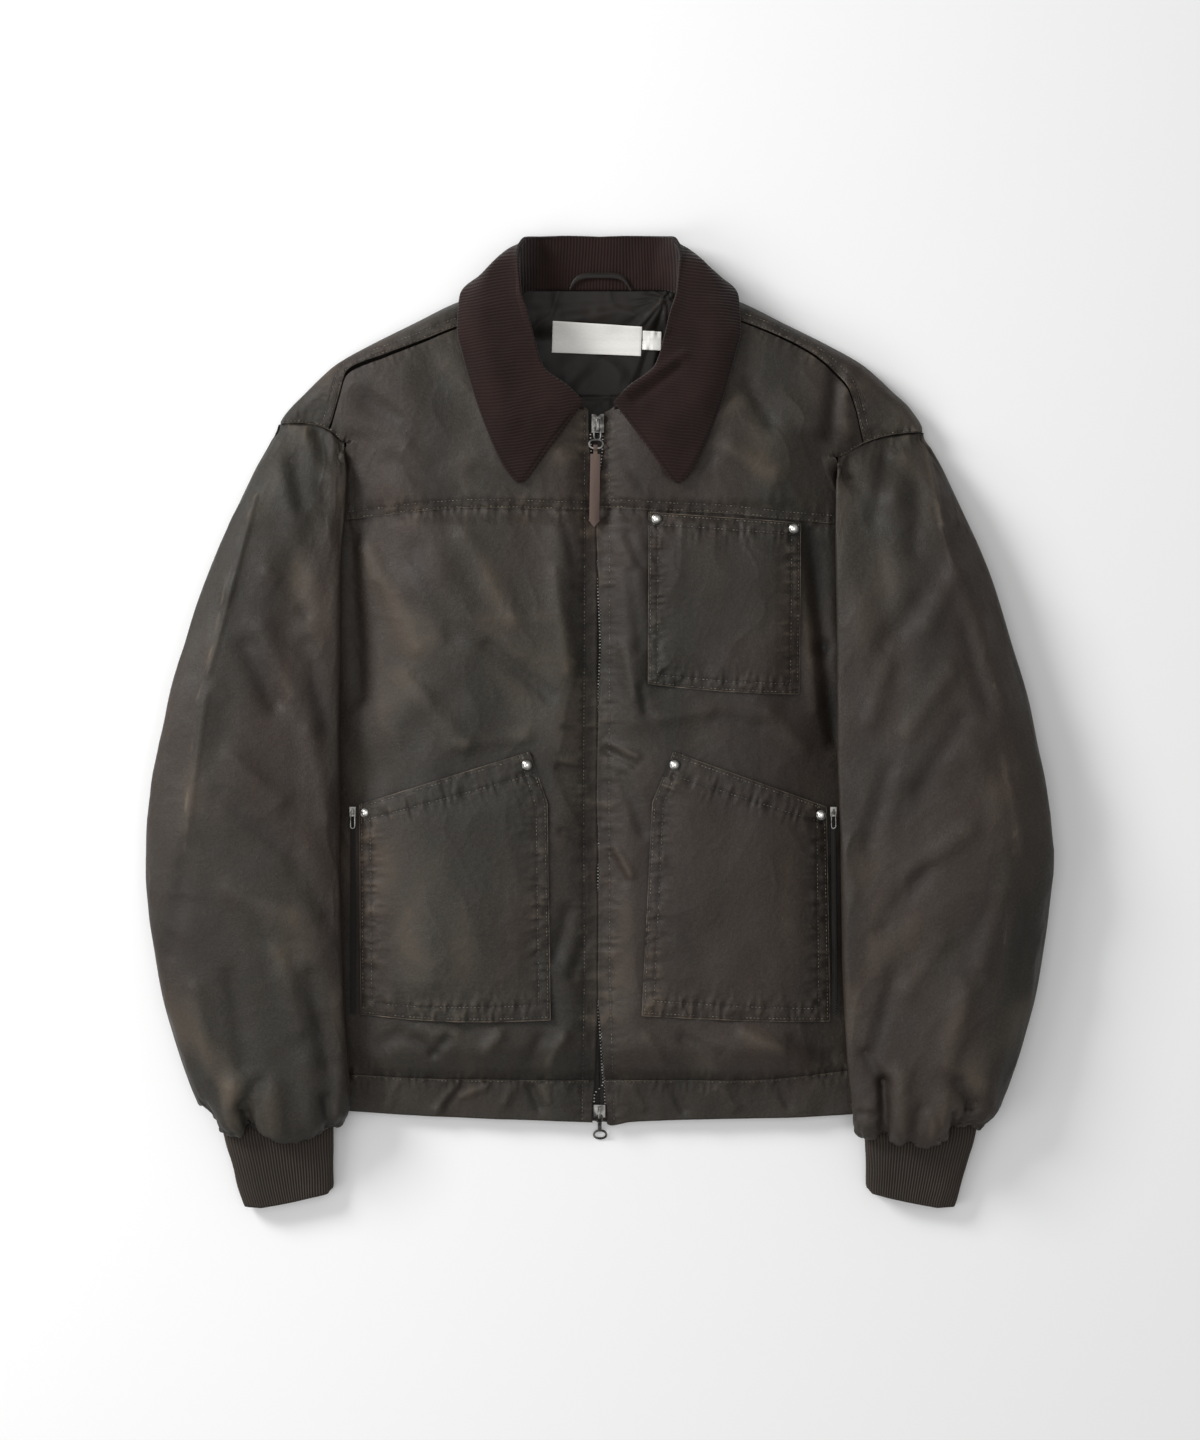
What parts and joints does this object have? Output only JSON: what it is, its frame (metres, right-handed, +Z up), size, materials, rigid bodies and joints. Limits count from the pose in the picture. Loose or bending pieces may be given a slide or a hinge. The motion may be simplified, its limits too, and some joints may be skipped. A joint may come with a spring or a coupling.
{
  "type": "padded jacket laid flat",
  "caption": "Padded waxed cotton blouson with corduroy collar, patch pockets and rib cuffs, zipped up and laid flat on its back.",
  "frame": {"origin": "centre of the bounding box, on the floor under the jacket's back", "axes": "+Y from the hem to the collar, +Z up out of the front, +X towards the wearer's left sleeve"},
  "size_m": [0.7469, 0.8046, 0.0586],
  "materials": {
    "cloth": "waxed cotton, matt with a soft sheen",
    "rib_knit": "rib knit",
    "corduroy": "cut corduroy",
    "satin": "satin lining",
    "label_satin": "blank woven satin",
    "zip_tape": "woven tape",
    "gunmetal": "polished dark nickel",
    "leather": "smooth matt leather"
  },
  "bodies": {
    "jacket": {"back_panel": "cloth", "back_yoke": "cloth", "front_yoke_l": "cloth", "front_yoke_r": "cloth", "front_l": "cloth", "front_r": "cloth", "hem_band_back": "cloth", "hem_band_l": "cloth", "hem_band_r": "cloth", "sleeve_l": "cloth", "sleeve_r": "cloth", "cuff_l": "rib_knit", "cuff_r": "rib_knit", "collar": "corduroy", "neck_lining": "satin", "main_label": "label_satin", "size_label": "label_satin", "hanger_loop": "satin", "chest_pocket": "cloth", "pocket_l": "cloth", "pocket_r": "cloth", "side_zip_l": "zip_tape", "side_zip_r": "zip_tape", "side_slider_l": "gunmetal", "side_slider_r": "gunmetal", "rivet_chest_a": "gunmetal", "rivet_chest_b": "gunmetal", "rivet_l_a": "gunmetal", "rivet_l_b": "gunmetal", "rivet_r_a": "gunmetal", "rivet_r_b": "gunmetal", "zip_tape_l": "zip_tape", "zip_tape_r": "zip_tape", "zip_chain": "gunmetal", "zip_guard": "zip_tape", "slider_top": "gunmetal", "slider_hem": "gunmetal"},
    "pull_top": {"pull_top": "gunmetal"},
    "strap_top": {"strap_top": "leather"},
    "pull_hem": {"pull_hem": "gunmetal"},
    "pull_side_l": {"side_pull_l": "gunmetal"},
    "pull_side_r": {"side_pull_r": "gunmetal"}
  },
  "joints": [
    {"name": "pull_top_swing", "type": "hinge", "parent": "jacket", "child": "pull_top", "pos_m": [-0.0015, 0.241, 0.03766], "axis": [-1, 0, 0], "range_deg": [0, 140]},
    {"name": "strap_top_swing", "type": "hinge", "parent": "pull_top", "child": "strap_top", "pos_m": [-0.0029, 0.2236, 0.03766], "axis": [-1, 0, 0], "range_deg": [0, 60]},
    {"name": "pull_hem_swing", "type": "hinge", "parent": "jacket", "child": "pull_hem", "pos_m": [0.0004, -0.3264, 0.01575], "axis": [-1, 0, 0], "range_deg": [0, 110]},
    {"name": "pull_side_l_swing", "type": "hinge", "parent": "jacket", "child": "pull_side_l", "pos_m": [0.19283, -0.07495, 0.03277], "axis": [-1, 0, 0], "range_deg": [0, 130]},
    {"name": "pull_side_r_swing", "type": "hinge", "parent": "jacket", "child": "pull_side_r", "pos_m": [-0.2028, -0.07495, 0.02947], "axis": [-1, 0, 0], "range_deg": [0, 130]}
  ]
}
